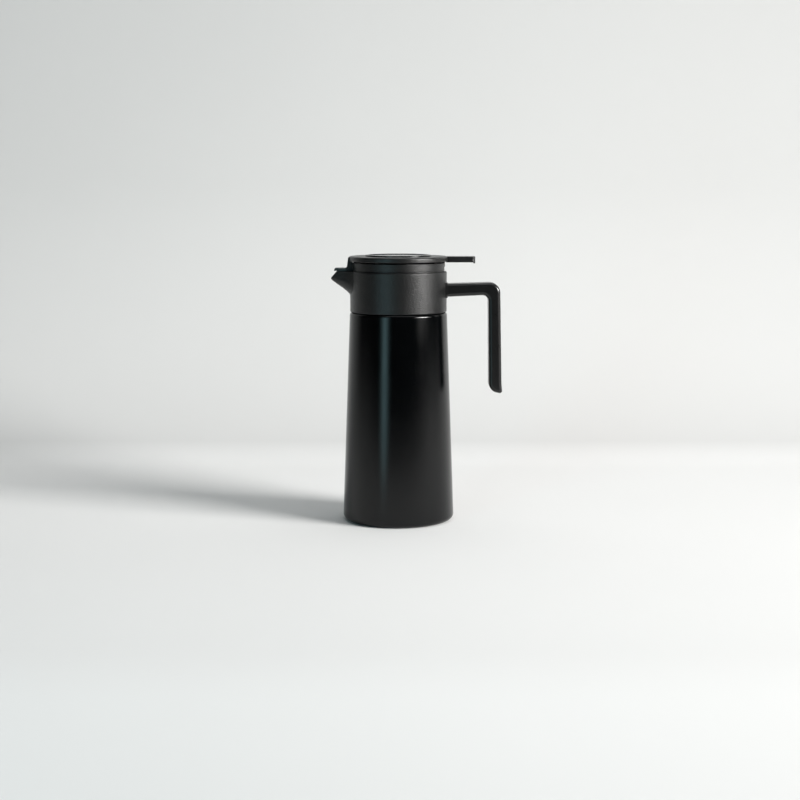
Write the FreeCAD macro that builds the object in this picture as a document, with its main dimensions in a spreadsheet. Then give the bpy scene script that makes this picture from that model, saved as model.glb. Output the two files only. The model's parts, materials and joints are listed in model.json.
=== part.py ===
import FreeCAD, Part
import math
import os
import Sketcher

# A vacuum carafe with a pouring lid, in millimetres. +Z is up and the table is at Z = 0.
# The flask's axis is the Z axis, the beak points to -X and the handle to +X.
# A thumb lever over the handle tilts the lid's flap, which opens the pouring hole.

SIZES = {
    # Steel flask
    "foot_radius": 52.5,
    "foot_rounding": 5.3,
    "foot_ring_inset": 6.5,
    "shoulder_radius": 45.5,
    "shoulder_height": 196.6,
    "shoulder_rounding": 3.0,
    "steel_wall": 0.5,
    "neck_step": 9.5,
    "neck_root_rounding": 1.5,
    "neck_gap": 1.8,
    "vacuum_gap": 6.0,
    "liner_floor_gap": 8.0,
    "liner_floor_rounding": 12.0,
    "liner_slope_low": 11.0,
    "liner_slope_high": 3.5,
    "base_recess": 3.0,
    "base_rim_lift": 0.4,
    "foil_thickness": 0.2,
    "foil_bottom_gap": 14.5,
    "foil_top_gap": 20.2,
    "getter_radius": 6.0,
    "getter_thickness": 2.5,
    "getter_offset": 20.0,
    "plug_head_radius": 5.0,
    "plug_head_thickness": 1.4,
    "plug_shank_radius": 2.0,
    "plug_shank_length": 1.2,
    # Collar with the beak
    "collar_gasket_thickness": 0.4,
    "collar_gasket_inset": 1.6,
    "collar_gasket_width": 4.3,
    "collar_inset": 0.3,
    "collar_rim_height": 9.5,
    "collar_wall": 3.0,
    "collar_rim_rounding": 1.3,
    "collar_foot_rounding": 0.4,
    "flange_lift": 7.6,
    "flange_thickness": 2.2,
    "neck_seal_thickness": 0.8,
    "neck_nut_height": 2.6,
    "neck_nut_clearance": 1.95,
    "beak_reach": 17.6,
    "beak_lip_drop": 7.4,
    "beak_slope": 0.753,
    "beak_spread": 0.57,
    "beak_tip_half_width": 4.0,
    "beak_roundness": 0.75,
    "beak_flare_start": 4.8,
    "beak_flare_depth": 12.0,
    "beak_flare_radius": 12.5,
    "beak_flare_spread": 0.5,
    "beak_wall": 1.8,
    "beak_lip_thickness": 1.3,
    "beak_mouth_setback": 5.3,
    "channel_floor_lift": 0.4,
    "channel_overcut": 1.2,
    # Handle
    "handle_width": 22.0,
    "arm_lift": 14.0,
    "arm_thickness": 12.0,
    "arm_rise": 1.4,
    "arm_taper": 0.4,
    "grip_standoff": 49.55,
    "grip_thickness": 10.9,
    "grip_outer_flare": 2.0,
    "grip_flare_lift": 9.5,
    "grip_tip_flare": 0.9,
    "grip_length": 103.0,
    "grip_end_slant": 2.8,
    "handle_outer_rounding": 9.5,
    "handle_inner_rounding": 5.7,
    "handle_end_rounding": 9.0,
    "handle_tip_rounding": 2.2,
    "handle_edge_rounding": 3.2,
    "socket_depth": 1.6,
    "socket_frame_width": 0.8,
    "socket_frame_proud": 0.6,
    "screw_pad_depth": 1.5,
    "screw_pad_height": 6.0,
    "screw_pad_half_width": 10.0,
    "screw_spacing": 12.0,
    "screw_radius": 1.4,
    "screw_length": 11.0,
    "screw_head_radius": 2.3,
    "screw_head_height": 1.6,
    # Lid ring and stopper
    "plug_play": 1.8,
    "lid_wall": 2.2,
    "deck_thickness": 2.4,
    "skirt_inset": 1.9,
    "skirt_height": 7.8,
    "skirt_rounding": 0.4,
    "skirt_rebate_depth": 0.6,
    "skirt_rebate_height": 0.8,
    "window_half_width": 7.5,
    "lug_width": 4.4,
    "lug_height": 1.8,
    "lug_radial_play": 0.4,
    "lug_drop": 1.3,
    "lid_lug_lift": 0.5,
    "lug_count": 3,
    "stopper_gap": 1.7,
    "stopper_wall": 3.0,
    "stopper_length": 33.0,
    "stopper_floor": 2.0,
    "stopper_port_radius": 9.0,
    "groove_depth": 1.6,
    "groove_height": 6.0,
    "groove_lift": 15.0,
    "gasket_lip": 1.2,
    # Hinge and spring
    "hinge_inset": 2.8,
    "hinge_drop": 2.5,
    "pin_radius": 1.25,
    "pin_end_cover": 1.0,
    "pin_proud": 0.5,
    "ear_thickness": 5.8,
    "ear_depth": 6.5,
    "ear_drop": 0.5,
    "hinge_slot_half_width": 7.2,
    "hinge_slot_front": 4.5,
    "hinge_slot_drop": 4.4,
    "knuckle_radius": 2.7,
    "knuckle_side_gap": 0.4,
    "spring_bay_half_width": 3.8,
    "spring_radius": 2.5,
    "spring_wire": 0.8,
    "spring_pitch": 1.3,
    "spring_turns": 3,
    "spring_upper_leg": 3.0,
    "spring_lower_leg": 2.6,
    # Flap
    "flap_gap": 1.3,
    "flap_overhang": 1.1,
    "flap_thickness": 4.7,
    "flap_wall": 2.2,
    "flap_roof": 3.2,
    "flap_top_rounding": 1.8,
    "flap_low_rounding": 0.5,
    "plate_inset": 15.5,
    "plate_recess": 1.2,
    "plate_proud": 1.3,
    "plate_rim_width": 1.9,
    "plate_dish": 0.7,
    "plate_rounding": 0.5,
    "lever_length": 25.2,
    "lever_width": 15.0,
    "lever_thickness": 5.3,
    "lever_top_drop": 0.2,
    "lever_rounding": 3.0,
    "lever_wall": 1.6,
    "lever_lip": 1.0,
    "lever_edge_rounding": 0.5,
    "cover_gap": 0.3,
    "cover_width": 17.5,
    "cover_top_drop": 0.9,
    "cover_thickness": 3.1,
    "cover_lean": 1.3,
    "cover_root_rounding": 2.2,
    "cheek_start": 4.5,
    "tab_gap": 0.4,
    "tab_thickness": 2.5,
    "tab_overhang": 14.9,
    "tab_bevel": 1.1,
    "tab_tip_half_width": 5.4,
    "tab_shoulder": 0.5,
    # Pouring valve
    "pour_hole_radius": 10.0,
    "pour_hole_margin": 0.5,
    "seal_rest_gap": 0.3,
    "seal_overlap": 3.0,
    "seal_thickness": 2.0,
    "seal_nose_gap": 2.0,
    "seal_nose_depth": 1.5,
    "stem_disc_inset": 1.0,
    "stem_disc_thickness": 2.0,
    "stem_radius": 4.0,
    "spigot_radius": 2.5,
    "spigot_depth": 1.4,
    "stem_screw_radius": 1.3,
    "stem_screw_length": 9.0,
    "stem_head_radius": 2.6,
    "stem_head_height": 0.9,
    # Clearances
    "fixed_gap": 0.05,
    "running_gap": 0.05,
    "loose_gap": 0.2,
    "collar_neck_gap": 0.3,
    "neck_bore_gap": 0.3,
    "lid_lift_gap": 0.5,
}

SWEEP_TURN = 360.0
CUT_ALLOWANCE = 2.0
BEAK_FLARE_STEPS = 3

doc = FreeCAD.newDocument("thermal_carafe")
sheet = doc.addObject("Spreadsheet::Sheet", "sizes")
for row, (alias, value) in enumerate(SIZES.items(), start=1):
    sheet.set(f"A{row}", alias)
    sheet.set(f"B{row}", str(value))
    sheet.setAlias(f"B{row}", alias)
doc.recompute()


class Size:
    """A length, with its number and the sheet expression that it comes from."""

    def __init__(self, number, text):
        self.number = number
        self.text = text

    def __add__(self, other):
        other = as_size(other)
        return Size(self.number + other.number, f"({self.text} + {other.text})")

    def __sub__(self, other):
        other = as_size(other)
        return Size(self.number - other.number, f"({self.text} - {other.text})")

    def __mul__(self, other):
        other = as_size(other)
        return Size(self.number * other.number, f"({self.text} * {other.text})")

    def __truediv__(self, other):
        other = as_size(other)
        return Size(self.number / other.number, f"({self.text} / {other.text})")

    def __neg__(self):
        return Size(-self.number, f"(-{self.text})")


def as_size(value):
    """Let a plain count stand beside named sizes."""
    return value if isinstance(value, Size) else Size(float(value), str(value))


def named(alias):
    """The sheet's size of that name."""
    return Size(float(sheet.get(alias)), f"sizes.{alias}")


def chord_reach(radius, half_width):
    """How far out a circle of that radius lies at that distance from its middle line."""
    number = math.sqrt(radius.number ** 2 - half_width.number ** 2)
    return Size(number, f"sqrt({radius.text} * {radius.text} - {half_width.text} * {half_width.text})")


ZERO = Size(0.0, "0")


def new_body(label):
    """An empty body whose label names the piece."""
    body = doc.addObject("PartDesign::Body", label)
    body.Label = label
    return body


def move_body(body, x=ZERO, y=ZERO, z=ZERO):
    """Bind the body's place to sizes."""
    for axis, size in zip("xyz", (x, y, z)):
        body.setExpression(f"Placement.Base.{axis}", size.text)


def new_sketch(body, name, plane, offset=ZERO):
    """A sketch on one of the body's own origin planes, moved along that plane's normal."""
    planes = {feature.Role: feature for feature in body.Origin.OriginFeatures}
    sketch = body.newObject("Sketcher::SketchObject", f"{body.Name}_{name}")
    sketch.AttachmentSupport = [(planes[f"{plane}_Plane"], "")]
    sketch.MapMode = "FlatFace"
    if offset is not ZERO:
        sketch.setExpression("AttachmentOffset.Base.z", offset.text)
    return sketch


def hold_point(sketch, geometry, position, x, y):
    """Hold a sketch point at two sizes from the sketch's origin."""
    for kind, axis, size in (("DistanceX", -2, x), ("DistanceY", -1, y)):
        if size is ZERO:
            sketch.addConstraint(Sketcher.Constraint("PointOnObject", geometry, position, axis))
        else:
            rule = sketch.addConstraint(Sketcher.Constraint(kind, geometry, position, size.number))
            sketch.setExpression(f"Constraints[{rule}]", size.text)


def hold_radius(sketch, geometry, size):
    """Hold a sketch arc or circle at a size."""
    rule = sketch.addConstraint(Sketcher.Constraint("Radius", geometry, size.number))
    sketch.setExpression(f"Constraints[{rule}]", size.text)


def draw_outline(sketch, corners):
    """Draw a closed outline. A corner is (x, y), or (x, y, rounding) where it is rounded."""
    count = len(corners)
    points = [FreeCAD.Vector(corner[0].number, corner[1].number, 0) for corner in corners]
    arrivals, departures, arcs = list(points), list(points), {}
    for i, corner in enumerate(corners):
        if len(corner) == 2:
            continue
        inward = (points[i] - points[i - 1]).normalize()
        outward = (points[(i + 1) % count] - points[i]).normalize()
        left_turn = inward.cross(outward).z > 0
        radius = corner[2].number
        setback = radius * math.tan(inward.getAngle(outward) / 2)
        arrivals[i] = points[i] - inward * setback
        departures[i] = points[i] + outward * setback
        side = FreeCAD.Vector(-inward.y, inward.x, 0) * (1 if left_turn else -1)
        centre = arrivals[i] + side * radius
        first, last = (arrivals[i], departures[i]) if left_turn else (departures[i], arrivals[i])
        start = math.atan2(first.y - centre.y, first.x - centre.x)
        end = math.atan2(last.y - centre.y, last.x - centre.x)
        circle = Part.Circle(centre, FreeCAD.Vector(0, 0, 1), radius)
        arc = sketch.addGeometry(Part.ArcOfCircle(circle, start, end), False)
        arcs[i] = (arc, 1, 2) if left_turn else (arc, 2, 1)
    sides = []
    for i in range(count):
        line = Part.LineSegment(departures[i], arrivals[(i + 1) % count])
        sides.append(sketch.addGeometry(line, False))
    for i, corner in enumerate(corners):
        before, after = sides[i - 1], sides[i]
        if i not in arcs:
            sketch.addConstraint(Sketcher.Constraint("Coincident", before, 2, after, 1))
            hold_point(sketch, after, 1, corner[0], corner[1])
            continue
        arc, arc_start, arc_end = arcs[i]
        sketch.addConstraint(Sketcher.Constraint("Tangent", before, 2, arc, arc_start))
        sketch.addConstraint(Sketcher.Constraint("Tangent", arc, arc_end, after, 1))
        hold_radius(sketch, arc, corner[2])
        tip = sketch.addGeometry(Part.Point(points[i]), True)
        sketch.addConstraint(Sketcher.Constraint("PointOnObject", tip, 1, before))
        sketch.addConstraint(Sketcher.Constraint("PointOnObject", tip, 1, after))
        hold_point(sketch, tip, 1, corner[0], corner[1])


def draw_circle(sketch, x, y, radius):
    """Draw a circle held at its centre and radius."""
    centre = FreeCAD.Vector(x.number, y.number, 0)
    circle = sketch.addGeometry(Part.Circle(centre, FreeCAD.Vector(0, 0, 1), radius.number), False)
    hold_point(sketch, circle, 3, x, y)
    hold_radius(sketch, circle, radius)


def box_corners(left, right, low, high):
    """The corners of an upright box, in order."""
    return [(left, low), (right, low), (right, high), (left, high)]


def turn(body, name, corners, kind="Revolution"):
    """Turn an outline of (radius, height) corners about the body's Z axis, as solid or as a groove."""
    sketch = new_sketch(body, f"{name}_outline", "XZ")
    draw_outline(sketch, corners)
    feature = body.newObject(f"PartDesign::{kind}", f"{body.Name}_{name}")
    feature.Profile = sketch
    feature.ReferenceAxis = (sketch, ["V_Axis"])
    feature.Angle = SWEEP_TURN
    doc.recompute()
    return feature


def extrude(body, kind, name, sketch, length, side="One side", backwards=False):
    """Pad or pocket a sketch by a size, and make sure that a pocket removes something."""
    before = body.Shape.Volume if kind == "Pocket" else 0.0
    feature = body.newObject(f"PartDesign::{kind}", f"{body.Name}_{name}")
    feature.Profile = sketch
    feature.SideType = side
    feature.Reversed = backwards
    feature.setExpression("Length", length.text)
    doc.recompute()
    if kind == "Pocket" and not body.Shape.Volume < before:
        raise RuntimeError(f"{feature.Name} cuts nothing")
    return feature


def pad(body, name, plane, corners, length, offset=ZERO, side="One side"):
    """Pad an outline drawn on an origin plane."""
    sketch = new_sketch(body, f"{name}_outline", plane, offset)
    draw_outline(sketch, corners)
    return extrude(body, "Pad", name, sketch, length, side)


def pocket(body, name, plane, corners, length, offset=ZERO, side="One side"):
    """Pocket an outline drawn on an origin plane, along that plane's normal."""
    sketch = new_sketch(body, f"{name}_outline", plane, offset)
    draw_outline(sketch, corners)
    return extrude(body, "Pocket", name, sketch, length, side, backwards=side == "One side")


def drill(body, name, plane, centres, radius, length, offset=ZERO, side="One side"):
    """Drill round holes of one radius, along the plane's normal."""
    sketch = new_sketch(body, f"{name}_circles", plane, offset)
    for x, y in centres:
        draw_circle(sketch, x, y, radius)
    return extrude(body, "Pocket", name, sketch, length, side, backwards=side == "One side")


def loft(body, kind, name, sections):
    """Loft through outlines drawn across the X axis, each given as (place, corners)."""
    sketches = []
    for i, (place, corners) in enumerate(sections):
        sketch = new_sketch(body, f"{name}_section_{i}", "YZ", place)
        draw_outline(sketch, corners)
        sketches.append(sketch)
    feature = body.newObject(f"PartDesign::{kind}", f"{body.Name}_{name}")
    feature.Profile = sketches[0]
    feature.Sections = sketches[1:]
    feature.Ruled = len(sections) == 2
    doc.recompute()
    return feature


def round_edges(body, name, radius, wanted):
    """Fillet the edges of the body that the test picks."""
    base = body.Tip
    picked = [f"Edge{i}" for i, edge in enumerate(base.Shape.Edges, start=1) if wanted(edge)]
    feature = body.newObject("PartDesign::Fillet", f"{body.Name}_{name}")
    feature.Base = (base, picked)
    feature.setExpression("Radius", radius.text)
    doc.recompute()
    return feature


def repeat_round(body, name, feature):
    """Repeat a feature evenly round the body's Z axis."""
    axes = {origin.Role: origin for origin in body.Origin.OriginFeatures}
    pattern = body.newObject("PartDesign::PolarPattern", f"{body.Name}_{name}")
    pattern.Originals = [feature]
    pattern.Axis = (axes["Z_Axis"], [""])
    pattern.Angle = SWEEP_TURN
    pattern.setExpression("Occurrences", "sizes.lug_count")
    body.Tip = pattern
    doc.recompute()


def lug_corners(inner, outer):
    """The outline, seen from above, of a lug on the +X side between two radii."""
    half = named("lug_width") / 2
    return box_corners(inner, outer, -half, half)


# Heights and radii that several pieces share, from the table upwards
wall = named("steel_wall")
fixed_gap = named("fixed_gap")
shoulder_height = named("shoulder_height")
foot_ring = named("foot_radius") - named("foot_ring_inset")
neck_radius = named("shoulder_radius") - named("neck_step")
liner_bore = neck_radius - wall - named("neck_gap") - wall
base_plate_top = named("base_recess") + wall
liner_floor = base_plate_top + named("liner_floor_gap")
collar_bottom = shoulder_height + named("collar_gasket_thickness")
collar_radius = named("shoulder_radius") - named("collar_inset")
collar_bore = collar_radius - named("collar_wall")
arm_bottom = collar_bottom + named("arm_lift")
arm_top = arm_bottom + named("arm_thickness")
flange_bottom = arm_bottom + named("flange_lift")
flange_top = flange_bottom + named("flange_thickness")
nut_bottom = flange_top + named("neck_seal_thickness")
neck_top = nut_bottom + named("neck_nut_height")
nut_bore = neck_radius + fixed_gap
nut_radius = collar_bore - named("neck_nut_clearance")
deck_bottom = neck_top + wall + named("lid_lift_gap")
deck_top = deck_bottom + named("deck_thickness")
collar_top = deck_bottom + named("collar_rim_height")
skirt_top = collar_top + named("skirt_height")
skirt_radius = collar_radius - named("skirt_inset")
plug_radius = collar_bore - named("plug_play")
plug_bore = plug_radius - named("lid_wall")
stopper_radius = liner_bore - named("stopper_gap")
stopper_bore = stopper_radius - named("stopper_wall")
hinge_x = skirt_radius - named("hinge_inset")
hinge_z = skirt_top - named("hinge_drop")
slot_half = named("hinge_slot_half_width")
ear_half = slot_half + named("ear_thickness")
pin_blind_end = ear_half - named("pin_end_cover")
pin_open_end = ear_half + named("pin_proud")
flap_bottom = skirt_top + named("flap_gap")
flap_top = flap_bottom + named("flap_thickness")
flap_radius = collar_radius + named("flap_overhang")
plate_radius = flap_radius - named("plate_inset")
roof_bottom = flap_top - named("flap_roof")
recess_floor = flap_top - named("plate_recess")
seal_bottom = deck_top + named("seal_rest_gap")
seal_top = seal_bottom + named("seal_thickness")
seal_radius = named("pour_hole_radius") + named("seal_overlap")
valve_x = named("pour_hole_radius") + named("pour_hole_margin") - stopper_bore
handle_half = named("handle_width") / 2
socket_floor = collar_radius - named("socket_depth")
socket_face = collar_radius + named("socket_frame_proud")
screw_height = flange_bottom - named("screw_pad_height") / 2
screw_seat = collar_bore - named("screw_pad_depth")
screw_half_spacing = named("screw_spacing") / 2


def shell_radius(height):
    """The outside radius of the tapered shell at a height."""
    taper = (named("foot_radius") - named("shoulder_radius")) / shoulder_height
    return named("foot_radius") - taper * height


def liner_radius(height):
    """The outside radius of the liner's tapered wall at a height."""
    return shell_radius(height) - wall - named("vacuum_gap")


def make_outer_shell():
    """Tapered shell with a rolled foot ring, a rounded shoulder and a neck."""
    body = new_body("outer_shell")
    foot, shoulder = named("foot_radius"), named("shoulder_radius")
    foot_bend, shoulder_bend = named("foot_rounding"), named("shoulder_rounding")
    neck_bend = named("neck_root_rounding")
    turn(body, "wall", [
        (foot_ring, ZERO),
        (foot, ZERO, foot_bend),
        (shoulder, shoulder_height, shoulder_bend),
        (neck_radius, shoulder_height, neck_bend),
        (neck_radius, neck_top),
        (neck_radius - wall, neck_top),
        (neck_radius - wall, shoulder_height - wall, neck_bend + wall),
        (shoulder - wall, shoulder_height - wall, shoulder_bend - wall),
        (foot - wall, wall, foot_bend - wall),
        (foot_ring, wall),
    ])
    return body


def make_base_plate():
    """Pressed plate set into the foot ring, with a pump-out hole in its middle."""
    body = new_body("base_plate")
    rim = foot_ring - fixed_gap
    hole = named("plug_shank_radius") + fixed_gap
    recess, rim_bottom = named("base_recess"), named("base_rim_lift")
    turn(body, "plate", [
        (hole, recess),
        (rim - wall, recess),
        (rim - wall, rim_bottom),
        (rim, rim_bottom),
        (rim, base_plate_top),
        (hole, base_plate_top),
    ])
    return body


def make_inner_flask():
    """Liner with a wide body and a narrower neck, whose lip sits on the shell's neck."""
    body = new_body("inner_flask")
    slope_low = shoulder_height - named("liner_slope_low")
    slope_high = shoulder_height - named("liner_slope_high")
    bend = named("liner_floor_rounding")
    turn(body, "wall", [
        (ZERO, liner_floor),
        (liner_radius(liner_floor), liner_floor, bend),
        (liner_radius(slope_low), slope_low),
        (liner_bore + wall, slope_high),
        (liner_bore + wall, neck_top),
        (neck_radius, neck_top),
        (neck_radius, neck_top + wall),
        (liner_bore, neck_top + wall),
        (liner_bore, slope_high - wall),
        (liner_radius(slope_low) - wall, slope_low - wall),
        (liner_radius(liner_floor) - wall, liner_floor + wall, bend - wall),
        (ZERO, liner_floor + wall),
    ])
    return body


def make_reflector_foil():
    """Thin tapered sleeve round the liner."""
    body = new_body("reflector_foil")
    bottom = liner_floor + named("foil_bottom_gap")
    top = shoulder_height - named("foil_top_gap")
    inside, thickness = named("loose_gap"), named("foil_thickness")
    turn(body, "sleeve", [
        (liner_radius(bottom) + inside, bottom),
        (liner_radius(bottom) + inside + thickness, bottom),
        (liner_radius(top) + inside + thickness, top),
        (liner_radius(top) + inside, top),
    ])
    return body


def make_getter():
    """Round pill on the base plate's dry side."""
    body = new_body("getter")
    top = base_plate_top + named("getter_thickness")
    turn(body, "pill", box_corners(ZERO, named("getter_radius"), base_plate_top, top))
    move_body(body, x=named("getter_offset"))
    return body


def make_vacuum_plug():
    """Headed plug in the base plate's pump-out hole."""
    body = new_body("vacuum_plug")
    recess, shank = named("base_recess"), named("plug_shank_radius")
    head_bottom = recess - named("plug_head_thickness")
    turn(body, "plug", [
        (ZERO, head_bottom),
        (named("plug_head_radius"), head_bottom),
        (named("plug_head_radius"), recess),
        (shank, recess),
        (shank, recess + named("plug_shank_length")),
        (ZERO, recess + named("plug_shank_length")),
    ])
    return body


def make_collar_gasket():
    """Thin ring between the shoulder and the collar."""
    body = new_body("collar_gasket")
    outer = collar_radius - named("collar_gasket_inset")
    inner = outer - named("collar_gasket_width")
    turn(body, "ring", box_corners(inner, outer, shoulder_height, collar_bottom))
    return body


def make_neck_seal():
    """Washer between the collar's flange and the nut."""
    body = new_body("neck_seal")
    turn(body, "ring", box_corners(nut_bore, nut_radius, flange_top, nut_bottom))
    return body


def make_neck_nut():
    """Ring on the neck that clamps the collar's flange."""
    body = new_body("neck_nut")
    turn(body, "ring", box_corners(nut_bore, nut_radius, nut_bottom, neck_top))
    return body


def beak_section(half_width, floor, top):
    """A trough-shaped section of the beak, seen along X."""
    rounding = half_width * named("beak_roundness")
    return [
        (-half_width, floor, rounding),
        (half_width, floor, rounding),
        (half_width, top),
        (-half_width, top),
    ]


def make_collar():
    """Ring with a flange on the neck, a pouring beak, a socket for the handle and lugs for the lid."""
    body = new_body("collar")
    flange_bore = neck_radius + named("collar_neck_gap")
    turn(body, "ring", [
        (flange_bore, collar_bottom),
        (collar_radius, collar_bottom, named("collar_foot_rounding")),
        (collar_radius, collar_top, named("collar_rim_rounding")),
        (flange_bore, collar_top),
    ])
    tip_x = -(collar_radius + named("beak_reach"))
    lip = collar_top - named("beak_lip_drop")
    tip_half = named("beak_tip_half_width")
    flare_x = -(collar_radius + named("beak_flare_start"))
    stations = [(tip_x, ZERO)]
    for i in range(BEAK_FLARE_STEPS + 1):
        inward = named("beak_flare_depth") * i / BEAK_FLARE_STEPS
        radius = named("beak_flare_radius")
        stations.append((flare_x + inward, radius - chord_reach(radius, inward)))
    sections = []
    for place, flare in stations:
        floor = lip - (place - tip_x) * named("beak_slope") - flare
        half_width = tip_half + (place - tip_x) * named("beak_spread") + flare * named("beak_flare_spread")
        sections.append((place, beak_section(half_width, floor, collar_top)))
    loft(body, "AdditiveLoft", "beak", sections)
    frame = named("socket_frame_width") + named("loose_gap")
    frame_half = handle_half + frame
    pad(body, "socket_frame", "YZ", [
        (-frame_half, arm_bottom - frame, named("handle_edge_rounding")),
        (frame_half, arm_bottom - frame, named("handle_edge_rounding")),
        (frame_half, arm_top + frame, named("handle_edge_rounding")),
        (-frame_half, arm_top + frame, named("handle_edge_rounding")),
    ], socket_face - screw_seat, screw_seat)
    bore_start = neck_radius - named("collar_wall")
    turn(body, "dry_bore", box_corners(bore_start, collar_bore, collar_bottom, flange_bottom), "Groove")
    turn(body, "wet_bore", box_corners(bore_start, collar_bore, flange_top, collar_top), "Groove")
    pad_half = named("screw_pad_half_width")
    pad_bottom = flange_bottom - named("screw_pad_height")
    pad(body, "screw_pad", "YZ", box_corners(-pad_half, pad_half, pad_bottom, flange_bottom),
        socket_floor - screw_seat, screw_seat)
    fit = named("loose_gap")
    pocket(body, "socket", "YZ", [
        (-handle_half - fit, arm_bottom - fit, named("handle_edge_rounding")),
        (handle_half + fit, arm_bottom - fit, named("handle_edge_rounding")),
        (handle_half + fit, arm_top + fit, named("handle_edge_rounding")),
        (-handle_half - fit, arm_top + fit, named("handle_edge_rounding")),
    ], socket_face - socket_floor + CUT_ALLOWANCE, socket_floor)
    holes = [(-screw_half_spacing, screw_height), (screw_half_spacing, screw_height)]
    drill(body, "screw_holes", "YZ", holes, named("screw_radius") + named("loose_gap"),
          collar_radius - screw_seat, screw_seat)
    overcut = named("channel_overcut")
    channel_root = flange_top + named("channel_floor_lift")
    channel_lip = lip + named("beak_lip_thickness")
    above = collar_top + overcut
    channel_x = -collar_bore + overcut * 2
    channel_half = tip_half + (channel_x - tip_x) * named("beak_spread") - named("beak_wall")
    loft(body, "SubtractiveLoft", "channel", [
        (channel_x, beak_section(channel_half, channel_root, above)),
        (tip_x - overcut, beak_section(tip_half - named("beak_lip_thickness"), channel_lip, above)),
    ])
    mouth_x = tip_x + named("beak_mouth_setback")
    mouth_reach = tip_x - named("beak_reach")
    pocket(body, "mouth", "XZ", [
        (mouth_reach, channel_lip),
        (tip_x, channel_lip),
        (mouth_x, collar_top),
        (mouth_x, above),
        (mouth_reach, above),
    ], tip_half * 4, side="Symmetric")
    lug_inner = plug_radius + named("lug_radial_play")
    lug_bottom = deck_bottom + named("lid_lug_lift") + named("lug_height") + named("lug_drop")
    lug = pad(body, "lug", "XY", lug_corners(lug_inner, socket_floor), named("lug_height"), lug_bottom)
    repeat_round(body, "lugs", lug)
    return body


def make_handle():
    """Open-ended L-shaped grip with rounded long edges, whose arm ends in the collar's socket."""
    body = new_body("handle")
    root_x = socket_floor + fixed_gap
    outer_top, thickness = collar_radius + named("grip_standoff"), named("grip_thickness")
    outer_low = outer_top + named("grip_outer_flare")
    end = arm_top - named("grip_length")
    flare_height = end + named("grip_flare_lift")
    tip_x = outer_low + named("grip_tip_flare")
    rise = named("arm_rise")
    inner_top, inner_low = outer_top - thickness, outer_low - thickness - named("grip_tip_flare")
    pad(body, "grip", "XZ", [
        (root_x, arm_bottom),
        (inner_top, arm_bottom + rise + named("arm_taper"), named("handle_inner_rounding")),
        (inner_low, end + named("grip_end_slant"), named("handle_end_rounding")),
        (tip_x, end, named("handle_tip_rounding")),
        (outer_low, flare_height),
        (outer_top, arm_top + rise, named("handle_outer_rounding")),
        (root_x, arm_top),
    ], named("handle_width"), side="Symmetric")
    half, root = handle_half.number, root_x.number
    slack = fixed_gap.number

    def long_edge(edge):
        spots = [vertex.Point for vertex in edge.Vertexes]
        beside = all(abs(abs(spot.y) - half) < slack for spot in spots)
        at_root = all(abs(spot.x - root) < slack for spot in spots)
        across = abs(spots[0].y - spots[-1].y) > half
        return beside and not at_root and not across

    round_edges(body, "edges", named("handle_edge_rounding"), long_edge)
    holes = [(-screw_half_spacing, screw_height), (screw_half_spacing, screw_height)]
    depth = screw_seat + named("screw_length") + named("loose_gap") - root_x
    drill(body, "pilot_holes", "YZ", holes, named("screw_radius") + fixed_gap, depth, root_x)
    return body


def make_handle_screws():
    """Two pan-headed screws from the collar's dry side into the arm."""
    body = new_body("handle_screws")
    body.AllowCompound = True
    planes = {origin.Role: origin for origin in body.Origin.OriginFeatures}
    sketch = new_sketch(body, "screw_outline", "XY", screw_height)
    y, radius, head = screw_half_spacing, named("screw_radius"), named("screw_head_radius")
    head_start = screw_seat - named("screw_head_height")
    tip = screw_seat + named("screw_length")
    draw_outline(sketch, [
        (head_start, y),
        (tip, y),
        (tip - radius, y + radius),
        (screw_seat, y + radius),
        (screw_seat, y + head),
        (head_start, y + head, named("screw_head_height") / 2),
    ])
    axis_line = sketch.addGeometry(Part.LineSegment(
        FreeCAD.Vector(head_start.number, y.number, 0), FreeCAD.Vector(tip.number, y.number, 0)), True)
    hold_point(sketch, axis_line, 1, head_start, y)
    hold_point(sketch, axis_line, 2, tip, y)
    screw = body.newObject("PartDesign::Revolution", "handle_screws_screw")
    screw.Profile = sketch
    screw.ReferenceAxis = (sketch, ["Axis0"])
    screw.Angle = SWEEP_TURN
    doc.recompute()
    pair = body.newObject("PartDesign::Mirrored", "handle_screws_pair")
    pair.Originals = [screw]
    pair.MirrorPlane = (planes["XZ_Plane"], [""])
    body.Tip = pair
    doc.recompute()
    return body


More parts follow.
